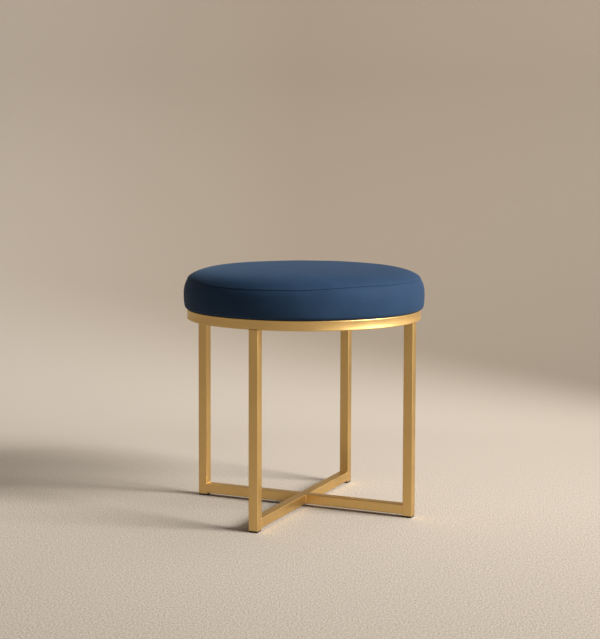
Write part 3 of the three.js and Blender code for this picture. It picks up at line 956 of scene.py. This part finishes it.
def weld_fillets(material):
    """Small dressed welds: leg tops, bar ends, the crossing, and the lugs inside the ring."""
    points, faces = [], []
    leg_inner = LEG_LOW.x
    flat = TUBE - 2 * RING_CORNER
    fillet, flush = fillet_outline(), flush_outline()
    bar_middle = (BAR_LOW.z + BAR_HIGH.z) / 2
    for quarter in range(4):
        out, side = directions(quarter * TAU / 4)
        for hand in (-1, 1):
            corner = out * (leg_inner + TUBE / 2) + side * (hand * TUBE / 2) + UP * LEG_HIGH.z
            weld_strip(points, faces, fillet, corner, out, side * hand, -UP, flat)
            groove = out * leg_inner + side * (hand * TUBE / 2) + UP * bar_middle
            weld_strip(points, faces, flush, groove, UP, out, side * hand, flat)
        crossing = (out + side) * (TUBE / 2) + UP * bar_middle
        weld_strip(points, faces, fillet, crossing, UP, out, side, flat)
        weld_strip(points, faces, fillet, out * leg_inner + UP * BAR_HIGH.z, side, -out, UP, flat)
        out, side = directions((quarter + 0.5) * TAU / 4)
        lug_end = out * (RING_INNER - LUG_WELD_SINK) + UP * TAB_LOW.z
        weld_strip(points, faces, fillet, lug_end, side, -out, -UP, TUBE)
    piece = mesh_object("weld_fillets", points, faces, material)
    smoothed_edges(piece, degrees=40)
    return add_piece(piece, "satin_gold")


def finish_nodes(prefix, material):
    """Gives CAD nodes a better material; their corners are shaded round and their flats flat."""
    for name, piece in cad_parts.items():
        if name.startswith(prefix):
            piece.data.materials.clear()
            piece.data.materials.append(material)
            weld = piece.modifiers.new("joined_corners", "WELD")
            weld.merge_threshold = JOINED_CORNERS
            normals = piece.modifiers.new("flat_faces", "WEIGHTED_NORMAL")
            normals.keep_sharp = False


def metal_frame():
    gold = {
        along: brushed_metal(f"satin_gold_{along}", GOLD_COLOR, along, GOLD_ROUGHNESS)
        for along in ("x", "y", "z")
    }
    gold["round"] = brushed_metal("satin_gold_round", GOLD_COLOR, "round", RING_ROUGHNESS)
    rolled_ring(gold["round"])
    weld_fillets(brushed_metal("satin_gold_welds", GOLD_COLOR, "z", WELD_ROUGHNESS))
    finish_nodes("leg_", gold["z"])
    finish_nodes("crossbar_long", gold["x"])
    finish_nodes("crossbar_back", gold["y"])
    finish_nodes("crossbar_front", gold["y"])
    finish_nodes("mounting_tab_", gold["round"])
    zinc = brushed_metal("zinc_look", ZINC_COLOR, "round", ZINC_ROUGHNESS)
    for prefix in ("seat_screw_", "screw_washer_", "tee_nut_"):
        finish_nodes(prefix, zinc)
    finish_nodes("foot_glide_", moulded_plastic())
    finish_nodes("seat_board", plywood())
    return zinc


# Underside

def dust_lining():
    """The lining under the board: a hem folded in at the rim, and a little slack in the middle."""
    low, high = LINING_LOW.z, LINING_HIGH.z
    rim, sheet = LINING_RADIUS, LINING_THICKNESS
    shares = np.linspace(0, 1, LINING_ROWS)
    radii = np.outer(shares * (rim - sheet), np.ones(ROUND_STEPS))
    slack = np.clip(1 - shares / LINING_TAUT_FROM, 0, 1)[:, None]
    folds = wander_sum(LINING_WAVES, LINING_WAVES_MIDDLE)
    sag = LINING_SAG * slack * folds * (1 - LINING_SAG_EASING * slack)
    lower = (radii, low - sag)
    fold = spun([(rim, low + sheet / 2), (rim, high - sheet / 2), (rim - sheet, high),
                 (rim - LINING_HEM, high), (rim - LINING_HEM, high - sheet)])
    upper = reverse((radii, low + sheet - sag))
    all_radii, all_heights = stack(lower, fold, upper)
    piece = turned("dust_lining", all_radii, all_heights, black_lining(), poles=True)
    smoothed_edges(piece, degrees=60)
    return add_piece(piece, "black_lining", "dust_cover")


def staples(material):
    """Flat crowns of the staples round the lining, none over a lug."""
    points, faces = [], []
    lug = math.atan2(TAB_HIGH.y - TAB_LOW.y, RING_INNER) / 2
    for number in range(STAPLE_COUNT):
        angle = (number + 0.5) * TAU / STAPLE_COUNT
        from_lug = abs((angle % (TAU / 4)) - TAU / 8)
        if from_lug < lug:
            continue
        out, side = directions(angle)
        middle = out * (LINING_RADIUS - STAPLE_INSET)
        middle.z = LINING_LOW.z - STAPLE_WIRE / 2
        sweep_staple(points, faces, middle, out, side)
    piece = mesh_object("lining_staples", points, faces, material)
    smoothed_edges(piece, degrees=50)
    return add_piece(piece, "zinc_plate")


def sweep_staple(points, faces, middle, out, side):
    """The crown, its two bends and the legs that go up through the lining."""
    half = STAPLE_WIDTH / 2
    path = [(-half, STAPLE_LEG), (-half, STAPLE_BEND), (-half + STAPLE_BEND, 0),
            (half - STAPLE_BEND, 0), (half, STAPLE_BEND), (half, STAPLE_LEG)]
    swept_faces(faces, len(points), len(path), STAPLE_SIDES)
    for place, (along, rise) in enumerate(path):
        before = path[max(place - 1, 0)]
        after = path[min(place + 1, len(path) - 1)]
        run = (side * (after[0] - before[0]) + UP * (after[1] - before[1])).normalized()
        across = out.cross(run)
        for corner in range(STAPLE_SIDES):
            turn = (corner + 0.5) * TAU / STAPLE_SIDES
            offset = (out * math.cos(turn) + across * math.sin(turn)) * (STAPLE_WIRE / math.sqrt(2))
            points.append(middle + side * along + UP * rise + offset)


# Stage, lamps and camera

def stage():
    """A floor, a sweep and a wall in one sheet, turned square to the camera's heading."""
    line = [(-FLOOR_FRONT, 0.0)]
    for step in range(SWEEP_STEPS + 1):
        turn = step / SWEEP_STEPS * TAU / 4
        ahead = WALL_AWAY - SWEEP_RADIUS * (1 - math.sin(turn))
        line.append((ahead, SWEEP_RADIUS * (1 - math.cos(turn))))
    line.append((WALL_AWAY, WALL_HEIGHT))
    sides = (-STAGE_HALF_WIDTH, STAGE_HALF_WIDTH)
    points = [(side, ahead, height) for ahead, height in line for side in sides]
    faces = [(2 * row, 2 * row + 1, 2 * row + 3, 2 * row + 2) for row in range(len(line) - 1)]
    mesh = bpy.data.meshes.new("stage")
    mesh.from_pydata(points, [], faces)
    mesh.shade_smooth()
    mesh.materials.append(stage_surface())
    piece = bpy.data.objects.new("stage", mesh)
    piece.rotation_euler = (0, 0, CAMERA_AZIMUTH)
    bpy.context.collection.objects.link(piece)


def studio_direction(right_of_camera, up):
    """From the stool towards a lamp, by its angle right of the camera and above the floor."""
    heading = CAMERA_AZIMUTH + math.radians(right_of_camera)
    lift = math.radians(up)
    level = math.cos(lift)
    return Vector((math.sin(heading) * level, -math.cos(heading) * level, math.sin(lift)))


def area_lamp(name, values, color):
    lamp = bpy.data.lights.new(name, "AREA")
    lamp.shape = "RECTANGLE"
    lamp.size, lamp.size_y = values["wide"], values["high"]
    lamp.energy = values["watts"]
    lamp.color = color
    towards = studio_direction(values["right"], values["up"])
    holder = bpy.data.objects.new(name, lamp)
    holder.location = Vector((0, 0, SEAT_BOTTOM / 2)) + towards * values["away"]
    roll = Quaternion((0, 0, 1), math.radians(values["roll"]))
    holder.rotation_euler = (towards.to_track_quat("Z", "Y") @ roll).to_euler()
    bpy.context.collection.objects.link(holder)


def studio_world():
    """Low ambient light; the camera, metal and glass see the plain backdrop colour."""
    world = bpy.data.worlds.new("studio")
    bpy.context.scene.world = world
    world.use_nodes = True
    tree = world.node_tree
    ambient = tree.nodes["Background"]
    ambient.inputs["Color"].default_value = (*AMBIENT_COLOR, 1)
    shown = tree.nodes.new("ShaderNodeBackground")
    shown.inputs["Color"].default_value = (*BACKDROP_COLOR, 1)
    rays = tree.nodes.new("ShaderNodeLightPath")
    seen = rays.outputs["Is Camera Ray"]
    for other in ("Is Glossy Ray", "Is Transmission Ray"):
        either = tree.nodes.new("ShaderNodeMath")
        either.operation = "MAXIMUM"
        tree.links.new(seen, either.inputs[0])
        tree.links.new(rays.outputs[other], either.inputs[1])
        seen = either.outputs[0]
    mixed = tree.nodes.new("ShaderNodeMixShader")
    tree.links.new(seen, mixed.inputs[0])
    tree.links.new(ambient.outputs[0], mixed.inputs[1])
    tree.links.new(shown.outputs[0], mixed.inputs[2])
    tree.links.new(mixed.outputs[0], tree.nodes["World Output"].inputs["Surface"])


def camera():
    data = bpy.data.cameras.new("camera")
    data.lens = LENS_MM
    data.sensor_width = SENSOR_MM
    data.shift_y = FRAME_SHIFT
    data.clip_end = CAMERA_REACH
    holder = bpy.data.objects.new("camera", data)
    holder.location = CAMERA_PLACE
    level = math.cos(CAMERA_PITCH)
    across, ahead = -math.sin(CAMERA_AZIMUTH), math.cos(CAMERA_AZIMUTH)
    look = Vector((across * level, ahead * level, -math.sin(CAMERA_PITCH)))
    roll = Quaternion((0, 0, 1), CAMERA_ROLL)
    holder.rotation_euler = (look.to_track_quat("-Z", "Y") @ roll).to_euler()
    bpy.context.collection.objects.link(holder)
    bpy.context.scene.camera = holder


bpy.context.scene.view_settings.view_transform = "Standard"
camera()
stage()
area_lamp("key_lamp", KEY_LAMP, KEY_COLOR)
area_lamp("top_lamp", TOP_LAMP, TOP_COLOR)
studio_world()
zinc_look = metal_frame()
cushion()
dust_lining()
staples(zinc_look)
